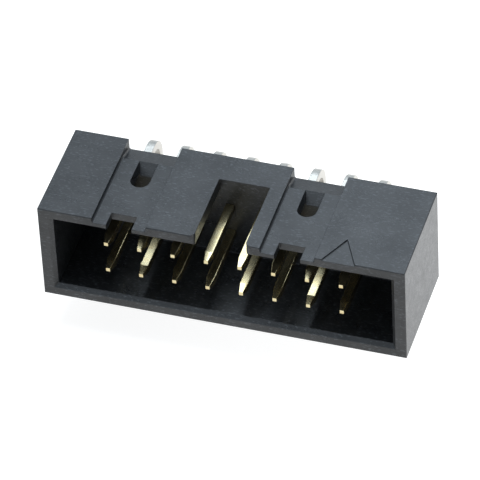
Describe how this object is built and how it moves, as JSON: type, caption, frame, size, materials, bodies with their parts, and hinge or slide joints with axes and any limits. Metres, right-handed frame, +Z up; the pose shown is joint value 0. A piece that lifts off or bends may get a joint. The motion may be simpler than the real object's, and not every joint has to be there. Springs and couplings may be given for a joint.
{
  "type": "idc box header",
  "caption": "Right-angle shrouded pin header: a keyed mouth takes a ribbon-cable socket, and square contacts bend down behind the housing to be soldered to a circuit board.",
  "frame": {"origin": "on the circuit board's face, at the centre of the grid of solder tails", "axes": "+X along the rows towards contact 1, the mouth faces -Y, +Z up away from the board"},
  "size_m": [0.0276, 0.013, 0.0117],
  "materials": {
    "housing_plastic": "fine satin, glass-filled moulding",
    "contact_metal": "thin gold on the mating end, bright tin on the solder tail"
  },
  "bodies": {
    "root": {"housing": "housing_plastic", "contact_01": "contact_metal", "contact_02": "contact_metal", "contact_03": "contact_metal", "contact_04": "contact_metal", "contact_05": "contact_metal", "contact_06": "contact_metal", "contact_07": "contact_metal", "contact_08": "contact_metal", "contact_09": "contact_metal", "contact_10": "contact_metal", "contact_11": "contact_metal", "contact_12": "contact_metal", "contact_13": "contact_metal", "contact_14": "contact_metal", "contact_15": "contact_metal", "contact_16": "contact_metal"}
  },
  "joints": []
}
